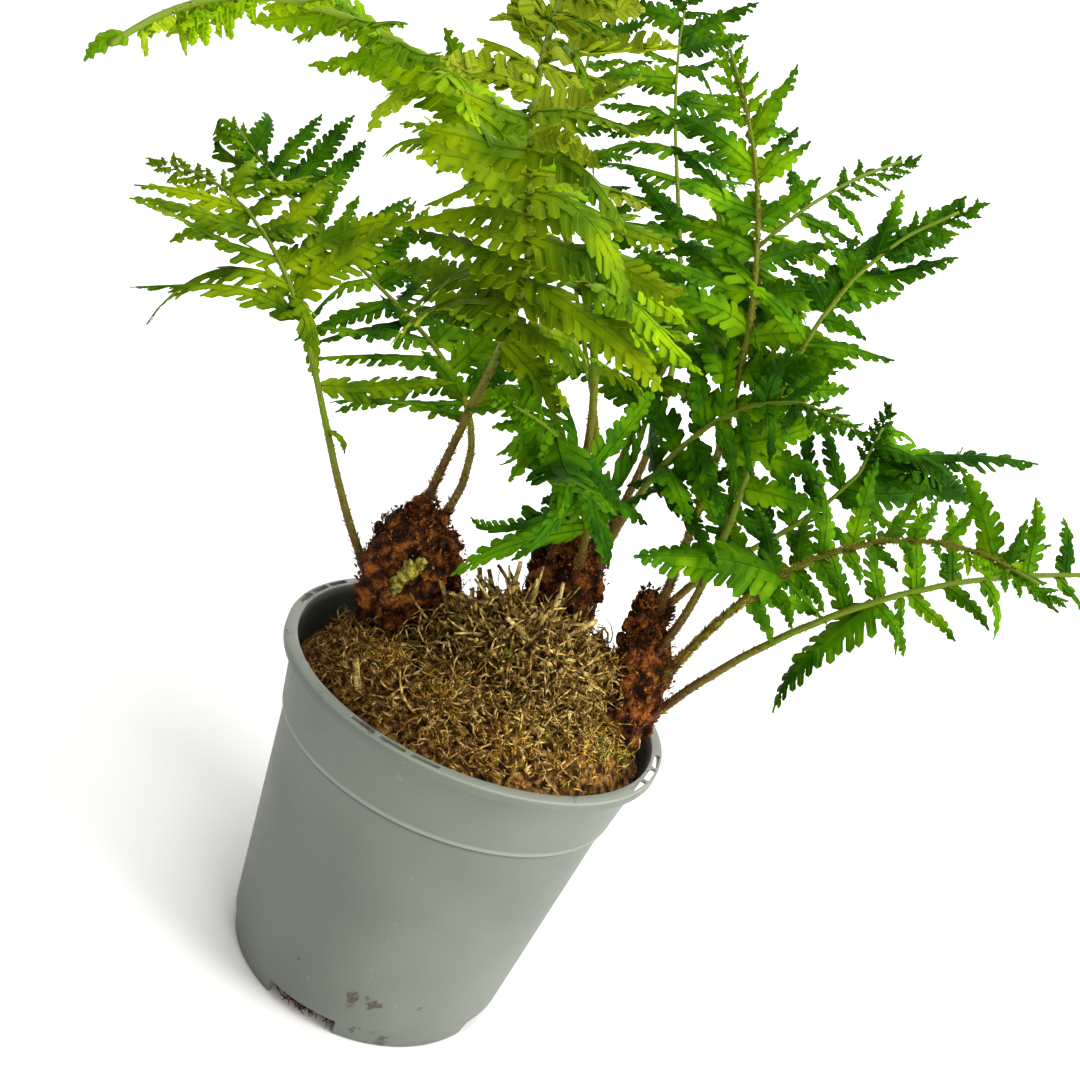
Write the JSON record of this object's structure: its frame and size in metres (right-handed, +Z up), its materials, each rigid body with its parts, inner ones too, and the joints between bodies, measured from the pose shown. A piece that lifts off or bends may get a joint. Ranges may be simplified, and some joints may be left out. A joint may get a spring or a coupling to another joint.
{
  "type": "potted soft shield fern",
  "caption": "Soft shield fern with arching toothed fronds on scaly brown crowns, in mounded compost in a plain tapered nursery pot.",
  "frame": {"origin": "centre of the flat pad under the pot, on the surface it stands on", "axes": "+Z up the pot's axis, -Y towards the viewer of the picture, +X to the viewer's right"},
  "size_m": [0.5275, 0.5868, 0.4841],
  "materials": {
    "pot": "moulded polypropylene, grey-green, satin, slightly scuffed",
    "compost": "moist peat compost with moss and fibre, matte",
    "crown_scales": "rust-brown papery scales, matte",
    "dead_stipes": "dry straw-coloured stubs, matte",
    "leaf_olive": "olive-green leaf, satin",
    "leaf_dark": "dark green leaf, satin",
    "leaf_mid": "mid green leaf, satin",
    "leaf_lime": "bright lime-green leaf, satin"
  },
  "bodies": {
    "root": {"pot": "pot", "soil": "compost", "crown_left": "crown_scales", "crown_middle": "crown_scales", "crown_right": "crown_scales", "dead_stipes": "dead_stipes", "frond_left": "leaf_olive", "frond_upper_left": "leaf_dark", "frond_top": "leaf_olive", "frond_centre_low": "leaf_mid", "frond_centre_right": "leaf_mid", "frond_hairy": "leaf_mid", "frond_lowest": "leaf_mid", "frond_right": "leaf_mid", "frond_mid_right": "leaf_mid", "frond_scaly": "leaf_mid", "frond_upper_right": "leaf_mid", "frond_near": "leaf_lime", "frond_back_tall": "leaf_dark", "frond_back_thin": "leaf_dark"}
  },
  "joints": []
}
